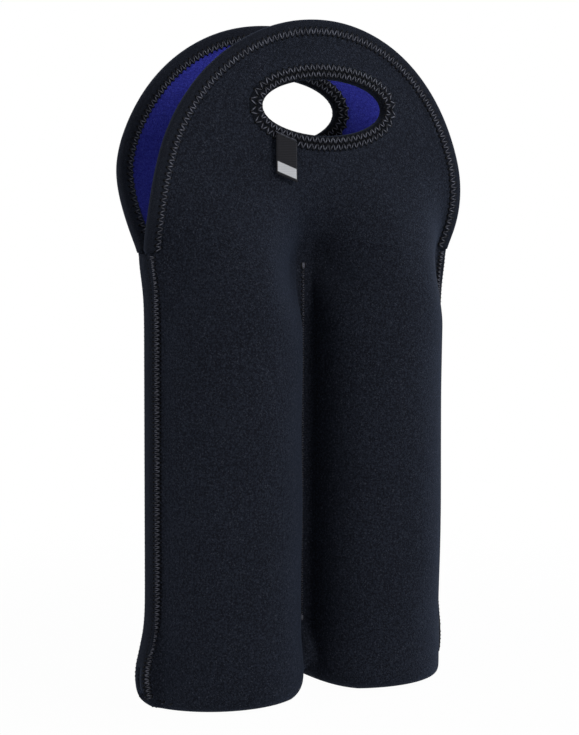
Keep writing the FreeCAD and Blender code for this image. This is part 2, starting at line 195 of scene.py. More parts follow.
# One column of the panel, from the middle of the base up to the mouth, as depth and height
def panelColumn(x, depth, side):
    floor = max(baseLine(x), 0.0)
    parted = tubes["seamSpread"] * (1 - fullness(depth)) ** 2 if abs(x) <= tubeOffset else 0.0
    bulk = math.sqrt(max(fullness(depth + parted), 0))
    right, left = x + panelDetail["slopeStep"], x - panelDetail["slopeStep"]
    run = flared(right, cornerHeight) - flared(left, cornerHeight)
    slope = (baseLine(right) - baseLine(left)) / run
    rise = (seamDepth + (tubes["baseRounding"] - seamDepth) * bulk) * math.hypot(1, slope)
    power = 2 / (2 + (tubes["baseSquareness"] - 2) * bulk)
    angle = np.linspace(0, math.pi / 2, 200)
    out = (depth + parted) * np.sin(angle) ** power
    up = floor + rise * (1 - np.abs(np.cos(angle)) ** power)
    top = floor + rise
    z = np.linspace(top, tubes["footHeight"], 60)[1:]
    wall = depth + parted * (1 - ease((z - top) / (tubes["seamFoot"] - top)))
    line = np.concatenate([np.stack([out, up], axis=1), np.stack([wall, z], axis=1)])
    foot = evenly(line, panelDetail["footRows"] + 1)
    z = np.linspace(tubes["footHeight"], tubes["mouth"], panelDetail["wallRows"] + 1)[1:]
    above = np.stack([sheetDepth(np.full_like(z, x), depth, z, side), z], axis=1)
    return np.concatenate([foot, above])


def rimHalfWidth(z):
    drop = (lobes["height"] - z) / (lobes["height"] - tubes["mouth"])
    return lobeHalfWidth - lobes["overhang"] * drop ** 2


# The rim of a lobe from the right mouth corner over the top to the left one, as x and z
def rimLine(count, lift=0.0):
    z = np.linspace(tubes["mouth"] + lift, lobes["height"], lobeDetail["sideSteps"])
    right = np.stack([rimHalfWidth(z), z], axis=1)
    turn = np.linspace(0, math.pi, lobeDetail["archSteps"])[1:-1]
    over = np.stack([lobeHalfWidth * np.cos(turn), lobes["height"] + lobes["rise"] * np.sin(turn)], axis=1)
    left = right[::-1] * [-1, 1]
    return evenly(np.concatenate([right, over, left]), count)


# The edge of a hand hole at given angles, as x and z
def holeEdge(turn, side):
    return np.stack([lobes["holeX"][side] + lobes["holeHalfWidth"] * np.cos(turn),
                     lobes["holeHeight"][side] + lobes["holeHalfHeight"][side] * np.sin(turn)], axis=1)


def holeLine(count, side):
    turn = np.linspace(0, 2 * math.pi, lobeDetail["holeSteps"])
    return evenly(holeEdge(turn, side), count + 1)[:-1]


# Slow hollows and swellings of the foam
softForm = {"height": 0.35, "lengths": (61.0, 43.0, 29.0), "stretch": 0.8, "shiftX": 1.7, "shiftZ": 2.3,
            "seamReach": 12.0, "lowStart": 20.0, "lowReach": 25.0, "highStart": 225.0, "highReach": 30.0}


# Outer face of one whole sheet, base to rim, as points and quads
# with the column of each panel quad, -1 on the lobe, and the number of lines up the panel
def sheetFace(side):
    lengths = [0.0]
    for run, steps in ((tubes["seamFlat"], panelDetail["seam"]), (filletLength, panelDetail["fillet"]),
                       (arcLength, panelDetail["tube"]), (filletLength, panelDetail["fillet"]),
                       (tubes["flange"], panelDetail["flange"])):
        lengths += [lengths[-1] + run * (0.5 * i / steps + 0.5 * float(ease(i / steps)))
                    for i in range(1, steps + 1)]
    lengths = [-s for s in reversed(lengths[1:])] + lengths
    columns = []
    for length in lengths:
        x, depth = planPoint(length)
        column = panelColumn(x, depth, side)
        columns.append(np.stack([flared(x, column[:, 1]), column[:, 0], column[:, 1]], axis=1))
    grid = np.array(columns)
    across, up = grid.shape[:2]
    points = [grid.reshape(-1, 3)]
    index = np.arange(across * up).reshape(across, up)
    panelQuads = np.stack([index[:-1, :-1], index[1:, :-1], index[1:, 1:], index[:-1, 1:]], axis=-1)
    quadColumns = np.repeat(np.arange(across - 1), up - 1)

    rim = rimLine(lobeDetail["rim"] + 1)[1:-1]
    loop = np.concatenate([grid[:, -1][:, [0, 2]], rim])
    turn = np.arctan2((loop[:, 1] - lobes["holeHeight"][side]) * lobeDetail["holeStretch"],
                      loop[:, 0] - lobes["holeX"][side])
    hole = holeEdge(turn, side)
    steps = np.linspace(0, 1, lobeDetail["rings"] + 1)
    steps = 0.6 * steps + 0.4 * ease(steps)
    first = across * up
    count = len(loop)
    rings = []
    for t in steps[:-1]:
        flat = hole + (loop - hole) * t
        x, z = flat[:, 0], flat[:, 1]
        rings.append(np.stack([x, sheetDepth(x, waveDepth(x), z, side), z], axis=1))
    x, z = rim[:, 0], rim[:, 1]
    points += [np.concatenate(rings), np.stack([x, sheetDepth(x, waveDepth(x), z, side), z], axis=1)]
    ringIndex = [first + count * k + np.arange(count) for k in range(len(steps) - 1)]
    ringIndex.append(np.concatenate([index[:, -1], first + count * (len(steps) - 1) + np.arange(len(rim))]))
    lobeQuads = []
    for inner, outer in zip(ringIndex, ringIndex[1:]):
        lobeQuads.append(np.stack([outer, np.roll(outer, -1), np.roll(inner, -1), inner], axis=-1))
    points = np.concatenate(points)
    quads = np.concatenate([panelQuads.reshape(-1, 4)] + lobeQuads)
    quadColumns = np.concatenate([quadColumns, np.full(len(quads) - len(quadColumns), -1)])

    # the hollows die out at the seams, the mouth and the base
    wobble = 0.0
    for k, length in enumerate(softForm["lengths"]):
        x, z = points[:, 0] * math.pi / length, points[:, 2] * math.pi / length * softForm["stretch"]
        wobble = wobble + np.sin(x + softForm["shiftX"] * k) * np.sin(z + softForm["shiftZ"] * k)
    seamFade = ease((points[:, 1] - seamDepth) / softForm["seamReach"])
    lowFade = ease((points[:, 2] - softForm["lowStart"]) / softForm["lowReach"])
    highFade = ease((points[:, 2] - softForm["highStart"]) / softForm["highReach"])
    heightFade = lowFade * (1 - highFade)
    points[:, 1] += softForm["height"] * wobble * seamFade * heightFade
    points[:, 1] = np.maximum(points[:, 1], sheets["buttGap"])
    points[:, 1] *= facing[side]
    if side == "back":
        quads = quads[:, ::-1]
    return points, quads, quadColumns, across


def faceNormals(points, quads):
    a, b, c, d = (points[quads[:, k]] for k in range(4))
    face = np.cross(c - a, d - b)
    normals = np.zeros_like(points)
    for k in range(4):
        np.add.at(normals, quads[:, k], face)
    return normals / np.maximum(np.linalg.norm(normals, axis=1, keepdims=True), 1e-12)


made = {}      # every finished piece by its name


def makePiece(name, points, faces, material):
    mesh = bpy.data.meshes.new(name)
    mesh.from_pydata((np.asarray(points) * toMetres).tolist(), [],
                     faces.tolist() if isinstance(faces, np.ndarray) else faces)
    mesh.update()
    mesh.polygons.foreach_set("use_smooth", [True] * len(mesh.polygons))
    mesh.materials.append(material)
    piece = bpy.data.objects.new(name, mesh)
    bpy.context.scene.collection.objects.link(piece)
    made[name] = piece
    return piece


# A closed layer between two depths below a face; what would pass the mid-plane is held back
def layerOf(points, quads, normals, near, deep, side, midGap):
    used = np.unique(quads)
    renumber = np.full(len(points), -1)
    renumber[used] = np.arange(len(used))
    quads = renumber[quads]
    points, normals = points[used], normals[used]
    outer, inner = points - normals * near, points - normals * deep
    both = np.concatenate([outer, inner])
    both[:, 1] = facing[side] * np.maximum(facing[side] * both[:, 1], midGap)
    count = len(points)
    edges = np.concatenate([quads[:, [k, (k + 1) % 4]] for k in range(4)])
    known = set(map(tuple, edges.tolist()))
    border = [(a, b) for a, b in edges.tolist() if (b, a) not in known]
    walls = [[b, a, a + count, b + count] for a, b in border]
    return both, np.concatenate([quads, quads[:, ::-1] + count, np.array(walls)])


def outwards(points, faces):
    volume = 0.0
    for face in faces:
        a = points[face[0]]
        for b, c in zip(face[1:], face[2:]):
            volume += float(np.dot(a, np.cross(points[b], points[c])))
    return faces if volume > 0 else [list(reversed(face)) for face in faces]


# Loft through closed sections, either round a closed path or with capped ends
def loftSections(sections, closed):
    sections = np.asarray(sections)
    count, size = sections.shape[:2]
    index = np.arange(count * size).reshape(count, size)
    faces = []
    for i in range(count if closed else count - 1):
        a, b = index[i], index[(i + 1) % count]
        faces += [[a[k], b[k], b[(k + 1) % size], a[(k + 1) % size]] for k in range(size)]
    if not closed:
        faces += [list(index[0]), list(index[-1][::-1])]
    points = sections.reshape(-1, 3)
    faces = [[int(v) for v in face] for face in faces]
    return points, outwards(points, faces)


# The lobe's outer face at x and z, moved outwards by lift
def lobeSurface(x, z, lift, side):
    step = 0.2

    def depth(px, pz):
        return sheetDepth(px, waveDepth(px), pz, side)

    slopeX = (depth(x + step, z) - depth(x - step, z)) / (2 * step)
    slopeZ = (depth(x, z + step) - depth(x, z - step)) / (2 * step)
    normal = np.stack([-slopeX, np.full_like(x, facing[side]), -slopeZ], axis=-1)
    normal /= np.linalg.norm(normal, axis=-1, keepdims=True)
    return np.stack([x, facing[side] * depth(x, z), z], axis=-1) + normal * np.asarray(lift)[..., None]


# Unit direction to the left of a line of x and z points
def leftOf(line, closed):
    if closed:
        tangent = np.roll(line, -1, axis=0) - np.roll(line, 1, axis=0)
    else:
        tangent = np.gradient(line, axis=0)
    tangent /= np.linalg.norm(tangent, axis=1, keepdims=True)
    return np.stack([-tangent[:, 1], tangent[:, 0]], axis=1)


# Tape folded over an edge of the lobe
def foldedTape(line, inward, tape, side, closed):
    section = np.array(tapeSection(tape["width"], tape["crown"], tape["overhang"]))
    x = line[:, None, 0] + inward[:, None, 0] * section[None, :, 0]
    z = line[:, None, 1] + inward[:, None, 1] * section[None, :, 0]
    lift = np.broadcast_to(section[None, :, 1], x.shape)
    points = lobeSurface(x, z, lift, side)
    points[..., 1] = facing[side] * np.maximum(facing[side] * points[..., 1], sheets["buttGap"])
    return loftSections(points, closed)


# Section of a folded tape: distance in from the edge and lift from the outer face
def tapeSection(width, crown, overhang):
    snug = sheets["layerGap"] / 2
    outer = [(width, 0.1), (width - 0.35, 0.42 * crown), (width * 0.86, 0.62 * crown),
             (width * 0.7, 0.84 * crown), (width * 0.45, crown), (width * 0.22, crown),
             (0.5, 0.9 * crown), (-0.35 * overhang, 0.5 * crown), (-0.8 * overhang, -0.5),
             (-overhang, -sheetTotal / 2)]
    outer += [(q, -sheetTotal - w) for q, w in reversed(outer[:-1])]
    inner = [(width - 0.3, snug), (-snug, snug)]
    inner = [(q, -sheetTotal - w) for q, w in inner] + inner[::-1]
    return outer + inner


class Flow:
    # A socket of a node tree that can be used in Python expressions

    def __init__(self, tree, socket=None):
        self.tree = tree
        self.socket = socket

    def add(self, kind, settings=None, inputs=None, output=0):
        node = self.tree.nodes.new(kind)
        for key, value in (settings or {}).items():
            setattr(node, key, value)
        for key, value in (inputs or {}).items():
            if isinstance(value, Flow):
                self.tree.links.new(value.socket, node.inputs[key])
            else:
                node.inputs[key].default_value = value
        return Flow(self.tree, node.outputs[output] if len(node.outputs) else None)

    def maths(self, operation, first, second=0.0):
        return self.add("ShaderNodeMath", {"operation": operation}, {0: first, 1: second})

    def __add__(self, other):
        return self.maths("ADD", self, other)

    def __radd__(self, other):
        return self.maths("ADD", other, self)

    def __sub__(self, other):
        return self.maths("SUBTRACT", self, other)

    def __rsub__(self, other):
        return self.maths("SUBTRACT", other, self)

    def __mul__(self, other):
        return self.maths("MULTIPLY", self, other)

    def __truediv__(self, other):
        return self.maths("DIVIDE", self, other)

    def band(self, low, high):
        return self.add("ShaderNodeMapRange", {"interpolation_type": "SMOOTHSTEP"},
                        {"Value": self, "From Min": low, "From Max": high})

    # A mix of two colours, each a socket or three numbers
    def blendTo(self, first, second):
        inputs = {0: self}
        for place, colour in ((6, first), (7, second)):
            inputs[place] = colour if isinstance(colour, Flow) else (*colour, 1)
        return self.add("ShaderNodeMix", {"data_type": "RGBA"}, inputs, 2)


def newMaterial(name):
    material = bpy.data.materials.new(name)
    material.use_nodes = True
    tree = material.node_tree
    tree.nodes.clear()
    return material, Flow(tree)


def finishMaterial(material, flow, shader):
    flow.add("ShaderNodeOutputMaterial", {}, {"Surface": shader})
    return material


knitForm = {"randomness": 0.75, "yarnScale": 0.55, "fibreScale": 0.8, "fibreBand": (0.6, 0.74),
            "patchesPerMetre": 24.0, "hollowBand": (0.25, 0.75), "hollowShade": 0.25,
            "loopHeight": 0.7, "yarnHeight": 0.5, "bumpDepth": 0.0004,      # the depth is in metres
            "roughnessSpread": 0.2, "sheenRoughness": 0.45}


# Knitted jersey: small loops, lighter fibres, slow patches and a soft sheen
def knitCloth(name, look):
    material, flow = newMaterial(name)
    place = flow.add("ShaderNodeTexCoord", output="Object")

    def noise(scale, detail, **more):
        inputs = {"Vector": place, "Scale": scale, "Detail": detail, **more}
        return flow.add("ShaderNodeTexNoise", {}, inputs, "Fac")

    loops = flow.add("ShaderNodeTexVoronoi", {"feature": "F1"},
                     {"Vector": place, "Scale": look["loopsPerMetre"], "Randomness": knitForm["randomness"]},
                     "Distance")
    yarn = noise(look["loopsPerMetre"] * knitForm["yarnScale"], 2.0, Roughness=0.6)
    fibres = noise(look["loopsPerMetre"] * knitForm["fibreScale"], 1.0).band(*knitForm["fibreBand"])
    patches = noise(knitForm["patchesPerMetre"], 3.0)
    hollow = loops.band(*knitForm["hollowBand"])
    tone = ((yarn - 0.5) * look["contrast"] + (patches - 0.5) * look["patchiness"] + 0.5
            - hollow * knitForm["hollowShade"])
    colour = tone.band(0.0, 1.0).blendTo(look["dark"], look["light"])
    colour = (fibres * look["fibreShare"]).blendTo(colour, look["fibre"])
    height = (1 - hollow) * knitForm["loopHeight"] + yarn * knitForm["yarnHeight"]
    bump = flow.add("ShaderNodeBump", {}, {"Height": height, "Strength": look["relief"],
                                           "Distance": knitForm["bumpDepth"]}, "Normal")
    shader = flow.add("ShaderNodeBsdfPrincipled", {}, {
        "Base Color": colour, "Roughness": look["roughness"] + (yarn - 0.5) * knitForm["roughnessSpread"],
        "Normal": bump, "Specular IOR Level": look["specular"], "Sheen Weight": look["sheen"],
        "Sheen Roughness": knitForm["sheenRoughness"], "Sheen Tint": (*look["sheenTint"], 1)}, "BSDF")
    return finishMaterial(material, flow, shader)


foamLook = {"loopsPerMetre": 1600.0, "contrast": 1.9, "patchiness": 0.2, "fibreShare": 0.4,
            "dark": (0.007, 0.008, 0.012), "light": (0.026, 0.031, 0.046), "fibre": (0.09, 0.10, 0.13),
            "relief": 0.5, "roughness": 0.85, "specular": 0.05, "sheen": 0.07, "sheenTint": (0.4, 0.58, 1.0)}
liningLook = {"loopsPerMetre": 1300.0, "contrast": 0.7, "patchiness": 0.5, "fibreShare": 0.2,
              "dark": (0.020, 0.022, 0.22), "light": (0.064, 0.075, 0.58), "fibre": (0.16, 0.18, 0.75),
              "relief": 0.45, "roughness": 0.85, "specular": 0.06, "sheen": 0.1, "sheenTint": (0.4, 0.4, 1.0)}
tapeLook = {"loopsPerMetre": 1900.0, "contrast": 0.7, "patchiness": 0.3, "fibreShare": 0.25,
            "dark": (0.007, 0.008, 0.012), "light": (0.024, 0.028, 0.040), "fibre": (0.08, 0.09, 0.11),
            "relief": 0.4, "roughness": 0.85, "specular": 0.05, "sheen": 0.07, "sheenTint": (0.45, 0.6, 1.0)}
foamKnit = knitCloth("foamKnit", foamLook)
liningKnit = knitCloth("liningKnit", liningLook)
tapeKnit = knitCloth("tapeKnit", tapeLook)
holeKnit = knitCloth("holeKnit", dict(tapeLook, dark=(0.003, 0.0035, 0.005), light=(0.012, 0.014, 0.02)))

# light is the thread's painted highlight colour; the crest band and the glint shares say where it is painted
threadLook = {"dark": (0.0008, 0.0008, 0.001), "light": (0.15, 0.155, 0.19), "roughness": 0.45,
              "specular": 0.06, "paintedHighlightCrest": (0.5, 1.0), "twistsPerMetre": 700.0, "twist": (0.3, 0.7),
              "leastPaintedHighlight": 0.4, "twistPaintedGlint": 0.9, "twistRoughness": 0.3}


def makeThread(look):
    material, flow = newMaterial("sewingThread")
    place = flow.add("ShaderNodeTexCoord", output="Object")
    twist = flow.add("ShaderNodeTexNoise", {},
                     {"Vector": place, "Scale": look["twistsPerMetre"], "Detail": 1.0}, "Fac")
    # painted highlight: the colour turns light near the top of each stroke, where light would catch
    paintedHighlightCrest = flow.add("ShaderNodeAttribute", {"attribute_name": "paintedHighlightCrest"}, output="Fac")
    # painted glints: patches of the twist noise raise the painted highlight on the thread's colour
    paintedHighlight = look["leastPaintedHighlight"] + twist.band(*look["twist"]) * look["twistPaintedGlint"]
    paintedHighlight = paintedHighlightCrest.band(*look["paintedHighlightCrest"]) * paintedHighlight
    colour = paintedHighlight.blendTo(look["dark"], look["light"])
    shader = flow.add("ShaderNodeBsdfPrincipled", {}, {
        "Base Color": colour, "Roughness": look["roughness"] + (twist - 0.5) * look["twistRoughness"],
        "Specular IOR Level": look["specular"]}, "BSDF")
    return finishMaterial(material, flow, shader)


thread = makeThread(threadLook)

labelLook = {"ground": (0.008, 0.008, 0.010), "sheenGround": (0.022, 0.022, 0.026),
             "stripe": (0.72, 0.72, 0.73), "stripeShade": (0.55, 0.55, 0.57),
             "stripeStart": 0.68, "stripeEnd": 0.93, "edge": 0.01,      # shares of the tab's length
             "hem": (0.03, 0.06),                                       # shares of its width
             "picksPerMetre": 2200.0, "distortion": 0.6, "grainPerMetre": 1800.0, "pickShare": 0.6,
             "relief": 0.35, "bumpDepth": 0.0002, "roughness": 0.62, "pickGloss": 0.15, "specular": 0.08}


def makeLabelWeave(look):
    material, flow = newMaterial("labelWeave")
    place = flow.add("ShaderNodeUVMap", {"uv_map": "labelUV"})
    across, drop = (flow.add("ShaderNodeSeparateXYZ", {}, {0: place}, axis) for axis in ("X", "Y"))
    local = flow.add("ShaderNodeTexCoord", output="Object")
    picks = flow.add("ShaderNodeTexWave", {"wave_type": "BANDS", "bands_direction": "Z"},
                     {"Vector": local, "Scale": look["picksPerMetre"] / 6.28,
                      "Distortion": look["distortion"]}, "Fac")
    grain = flow.add("ShaderNodeTexNoise", {},
                     {"Vector": local, "Scale": look["grainPerMetre"], "Detail": 2.0}, "Fac")
    begun, ended = (drop.band(look[key] - look["edge"], look[key] + look["edge"])
                    for key in ("stripeStart", "stripeEnd"))
    stripe = begun * (1 - ended) * across.band(*look["hem"]) * (1 - across).band(*look["hem"])
    mix = picks * look["pickShare"] + grain * (1 - look["pickShare"])
    ground = mix.blendTo(look["ground"], look["sheenGround"])
    pale = mix.blendTo(look["stripeShade"], look["stripe"])
    colour = stripe.blendTo(ground, pale)
    bump = flow.add("ShaderNodeBump", {}, {"Height": mix, "Strength": look["relief"],
                                           "Distance": look["bumpDepth"]}, "Normal")
    shader = flow.add("ShaderNodeBsdfPrincipled", {}, {
        "Base Color": colour, "Roughness": look["roughness"] - picks * look["pickGloss"], "Normal": bump,
        "Specular IOR Level": look["specular"]}, "BSDF")
    return finishMaterial(material, flow, shader)


labelWeave = makeLabelWeave(labelLook)
print("materials made")


# Geometry Nodes tree that lays one bent thread at every point of a guide
def threadTree():
    tree = bpy.data.node_groups.new("threadStrokes", "GeometryNodeTree")
    flow = Flow(tree)
    sockets = {}
    for name, kind in (("Guide", "Geometry"), ("Thread Radius", "Float"), ("Arch", "Float"),
                       ("Sink", "Float"), ("Thread", "Material")):
        sockets[name] = tree.interface.new_socket(name=name, in_out="INPUT", socket_type=f"NodeSocket{kind}")
    tree.interface.new_socket(name="Stitches", in_out="OUTPUT", socket_type="NodeSocketGeometry")
    given = tree.nodes.new("NodeGroupInput").outputs
    guide, radius, arch, sink, material = (Flow(tree, given[name]) for name in sockets)

    def named(name, kind):
        return flow.add("GeometryNodeInputNamedAttribute", {"data_type": kind}, {"Name": name}, "Attribute")

    down = sink * -1.0
    ends = [flow.add("ShaderNodeCombineXYZ", {}, {"X": x, "Z": down}) for x in (-0.5, 0.5)]
    middle = flow.add("ShaderNodeCombineXYZ", {}, {"Z": arch})
    stroke = flow.add("GeometryNodeCurveQuadraticBezier", {},
                      {"Resolution": 5, "Start": ends[0], "Middle": middle, "End": ends[1]})
    ring = flow.add("GeometryNodeCurvePrimitiveCircle", {}, {"Resolution": 6, "Radius": radius})
    tube = flow.add("GeometryNodeCurveToMesh", {},
                    {"Curve": stroke, "Profile Curve": ring, "Fill Caps": True})
    # how near each point is to the top of its stroke, where the thread's colour gets a painted highlight
    rise = flow.add("ShaderNodeSeparateXYZ", {}, {0: flow.add("GeometryNodeInputPosition")}, "Z")
    paintedHighlightCrest = rise / ((arch - sink) * 0.5 + radius)
    marked = flow.add("GeometryNodeStoreNamedAttribute", {"data_type": "FLOAT", "domain": "POINT"},
                      {"Geometry": tube, "Name": "paintedHighlightCrest", "Value": paintedHighlightCrest})
    smooth = flow.add("GeometryNodeSetShadeSmooth", {}, {"Geometry": marked})
    turn = flow.add("FunctionNodeAxesToRotation", {"primary_axis": "X", "secondary_axis": "Z"},
                    {"Primary Axis": named("along", "FLOAT_VECTOR"),
                     "Secondary Axis": named("up", "FLOAT_VECTOR")})
    size = flow.add("ShaderNodeCombineXYZ", {}, {"X": named("reach", "FLOAT"), "Y": 1.0, "Z": 1.0})
    laid = flow.add("GeometryNodeInstanceOnPoints", {},
                    {"Points": guide, "Instance": smooth, "Rotation": turn, "Scale": size})
    real = flow.add("GeometryNodeRealizeInstances", {}, {"Geometry": laid})
    done = flow.add("GeometryNodeSetMaterial", {}, {"Geometry": real, "Material": material})
    flow.add("NodeGroupOutput", {}, {0: done})
    return tree, sockets


strokeTree, strokeSockets = threadTree()


# A piece made of thread strokes, each from one point to another on the cloth
def sewnPiece(name, starts, ends, ups, look):
    starts, ends, ups = (np.asarray(a, float) for a in (starts, ends, ups))
    along = ends - starts
    reach = np.linalg.norm(along, axis=1)
    along = along / reach[:, None]
    ups = ups - along * np.sum(ups * along, axis=1, keepdims=True)
    ups /= np.linalg.norm(ups, axis=1, keepdims=True)
    mesh = bpy.data.meshes.new(name)
    mesh.from_pydata((((starts + ends) / 2 + ups * look["lift"]) * toMetres).tolist(), [], [])
    for key, kind, values in (("along", "FLOAT_VECTOR", along), ("up", "FLOAT_VECTOR", ups),
                              ("reach", "FLOAT", (reach + look["overrun"]) * toMetres)):
        attribute = mesh.attributes.new(key, kind, "POINT")
        attribute.data.foreach_set("vector" if kind == "FLOAT_VECTOR" else "value",
                                   np.asarray(values, np.float32).ravel())
    piece = bpy.data.objects.new(name, mesh)
    bpy.context.scene.collection.objects.link(piece)
    modifier = piece.modifiers.new("strokes", "NODES")
    modifier.node_group = strokeTree
    for key, value in (("Thread Radius", look["radius"] * toMetres), ("Arch", look["arch"] * toMetres),
                       ("Sink", look["sink"] * toMetres), ("Thread", thread)):
        modifier[strokeSockets[key].identifier] = value
    evaluated = piece.evaluated_get(bpy.context.evaluated_depsgraph_get())
    piece.data = bpy.data.meshes.new_from_object(evaluated)
    piece.modifiers.clear()
    piece.data.name = name
    made[name] = piece


class ClothTouch:
    # Finds where a line along Y meets the cloth, for laying stitches on it

    def __init__(self, pieces):
        points, faces = [], []
        for piece in pieces:
            offset = len(points)
            points += [v.co.copy() for v in piece.data.vertices]
            faces += [[offset + v for v in p.vertices] for p in piece.data.polygons]
        self.tree = BVHTree.FromPolygons(points, faces)

    def at(self, x, z, start, heading):
        origin = Vector((x * toMetres, start * toMetres, z * toMetres))
        place, normal, _, _ = self.tree.ray_cast(origin, Vector((0, heading, 0)))
        if place is None:
            return None
        if normal.y * heading > 0:
            normal = -normal
        return np.array(place) / toMetres, np.array(normal)

    # Strokes between two rows of x and z points, as seen along one heading
    def strokes(self, fromLine, toLine, start, heading):
        longest = 3.0      # a longer stroke than this many spacings has slipped off an edge
        found = ([], [], [])
        for a, b in zip(fromLine, toLine):
            first, second = self.at(*a, start, heading), self.at(*b, start, heading)
            if first is None or second is None:
                continue
            if np.linalg.norm(first[0] - second[0]) > longest * math.dist(a, b):
                continue
            found[0].append(first[0])
            found[1].append(second[0])
            found[2].append(first[1] + second[1])
        return found


def joinStrokes(*groups):
    return [sum((list(group[k]) for group in groups), []) for k in range(3)]


# Zigzag between two distances from a line
def zigzag(line, inward, near, far, pitch, closed):
    loop = np.concatenate([line, line[:1]]) if closed else line
    away = np.concatenate([inward, inward[:1]]) if closed else inward
    along = np.concatenate([[0], np.cumsum(np.linalg.norm(np.diff(loop, axis=0), axis=1))])
    count = max(int(round(along[-1] / pitch)), 1)
    at = np.linspace(0, along[-1], 2 * count + 1)
    direction = np.stack([np.interp(at, along, away[:, k]) for k in range(2)], axis=1)
    distance = np.where(np.arange(2 * count + 1) % 2 == 0, near, far)
    row = evenly(loop, 2 * count + 1) + direction * distance[:, None]
    return row[:-1], row[1:]


farAway = 300.0      # outside the carrier, where the lines that look for cloth start

rimTape = {"width": 7.6, "crown": 0.95, "overhang": 0.9, "lift": 0.5, "sections": 240,
           "coverHeight": 5.0, "coverWidth": 7.0}
holeTape = {"width": 7.5, "crown": 0.95, "overhang": 0.9, "sections": 150}
rimStitch = {"near": 3.3, "far": 8.0, "pitch": 3.6, "radius": 0.5, "lift": 0.12, "arch": 0.5, "sink": 0.25,
             "overrun": 0.2, "lineSteps": 400}
holeStitch = {"rows": ((-0.1, 3.9), (3.5, 7.7)), "pitch": 3.3, "radius": 0.5, "lift": 0.12, "arch": 0.5,
              "sink": 0.25, "overrun": 0.1, "lineSteps": 300}

for side in facing:
    points, quads, quadColumns, across = sheetFace(side)
    normals = faceNormals(points, quads)
    foam = layerOf(points, quads, normals, 0.0, sheets["foam"], side, sheets["buttGap"])
    makePiece(f"{side}Sheet", *foam, foamKnit)
    # the lining stops where a tube meets the side seam, and under the lower ends of the rim tape
    edge = panelDetail["flange"] + panelDetail["fillet"]
    middle = points[quads].mean(axis=1)
    above = middle[:, 2] > tubes["mouth"] + rimTape["coverHeight"]
    within = np.abs(middle[:, 0]) < lobeHalfWidth - rimTape["coverWidth"]
    onLobe = (quadColumns < 0) & (above | within)
    onTube = (quadColumns >= edge) & (quadColumns < across - 1 - edge)
    lining = layerOf(points, quads[onLobe | onTube], normals, sheets["foam"] + sheets["layerGap"], sheetTotal,
                     side, sheets["seamGap"])
    makePiece(f"{side}Lining", *lining, liningKnit)
    rim = rimLine(rimTape["sections"], rimTape["lift"])
    makePiece(f"{side}RimBinding", *foldedTape(rim, leftOf(rim, False), rimTape, side, False), tapeKnit)
    hole = holeLine(holeTape["sections"], side)
    makePiece(f"{side}HoleBinding", *foldedTape(hole, -leftOf(hole, True), holeTape, side, True), holeKnit)
print("sheets, linings and lobe bindings made")

sideTape = {"width": 3.0, "thickness": 0.9, "foot": 24.0, "taper": 14.0, "footShare": 0.15, "topGap": 0.2,
            "snug": 0.05, "sections": 110}
sideStitch = {"near": 0.0, "far": 4.8, "pitch": 2.3, "radius": 0.44, "lift": 0.12, "arch": 0.5, "sink": 0.25,
              "overrun": 0.2, "topGap": 1.0, "cornerHeight": 17.0, "endX": 87.0, "lineSteps": 240}


# Tape folded over both sheets at a side seam, thinning out towards its foot
def sideBinding(turn):
    width, thick = sideTape["width"], sideTape["thickness"]
    outer = [(width, 0.15), (width - 0.4, 0.6), (width * 0.6, 1.0), (width * 0.3, 1.0), (0.3, 0.7),
             (-0.5, -0.3), (-0.95, -1.8), (-1.0, -3.2)]
    sections = []
    inside = seamDepth + sideTape["snug"]
    for z in np.linspace(sideTape["foot"], tubes["mouth"] - sideTape["topGap"], sideTape["sections"]):
        share = float(ease((z - sideTape["foot"]) / sideTape["taper"]))
        share = sideTape["footShare"] + (1 - sideTape["footShare"]) * share
        half = [(q if q > 0 else q * share, seamDepth + (lift * thick * share if lift > 0 else lift))
                for q, lift in outer]
        loop = half + [(q, -y) for q, y in reversed(half)]
        loop += [(width - 0.2, -inside), (-0.1, -inside), (-0.1, inside), (width - 0.2, inside)]
        edge = halfWidth + float(standOut(turn, z))
        sections.append([(turn * (edge - q), y, z) for q, y in loop])
    return loftSections(sections, False)


# The sewn edge from the mouth down one side, round the corner and in under the tube
def seamLine(turn):
    z = np.linspace(tubes["mouth"] - sideStitch["topGap"], sideStitch["cornerHeight"], 200)
    down = np.stack([turn * (halfWidth + standOut(turn, z)), z], axis=1)
    x = turn * np.linspace(halfWidth, sideStitch["endX"], 60)
    floor = np.array([max(baseLine(v), 0.0) for v in x])
    under = np.stack([flared(x, floor), floor], axis=1)
    return evenly(np.concatenate([down, under]), sideStitch["lineSteps"])


sideTurns = (("right", 1.0), ("left", -1.0))
for name, turn in sideTurns:
    makePiece(f"{name}SideBinding", *sideBinding(turn), tapeKnit)
print("side bindings made")

labelTab = {"x": -24.8, "width": 13.0, "length": 21.8, "thickness": 0.8, "clearance": 0.4,
            "stitchHeight": 1.6, "stitchGap": 0.2, "stitchBand": 2.4, "stitchThickness": 0.5,
            "bindingThickness": 0.8, "curl": 0.5, "edgeThinning": 0.25, "edgeWidth": 0.6,
            "across": 14, "down": 24}
seatInset = holeTape["width"] - labelTab["stitchBand"] - labelTab["stitchHeight"] - labelTab["clearance"]


# Height of the label's seam, which follows the lower edge of the front hand hole
def seatHeight(x):
    share = (x - lobes["holeX"]["front"]) / (lobes["holeHalfWidth"] + seatInset)
    fall = (lobes["holeHalfHeight"]["front"] + seatInset) * math.sqrt(1 - share ** 2)
    return lobes["holeHeight"]["front"] - fall


labelSlope = (seatHeight(labelTab["x"] + labelTab["width"] / 2)
              - seatHeight(labelTab["x"] - labelTab["width"] / 2)) / labelTab["width"]
labelTop = seatHeight(labelTab["x"]) - labelTab["stitchHeight"] - labelTab["stitchGap"]
labelBack = (float(lobeFace(0.0, seatHeight(labelTab["x"]), "front")) + sheets["layerGap"]
             + labelTab["bindingThickness"] + labelTab["stitchGap"] + labelTab["stitchThickness"]
             + labelTab["clearance"])


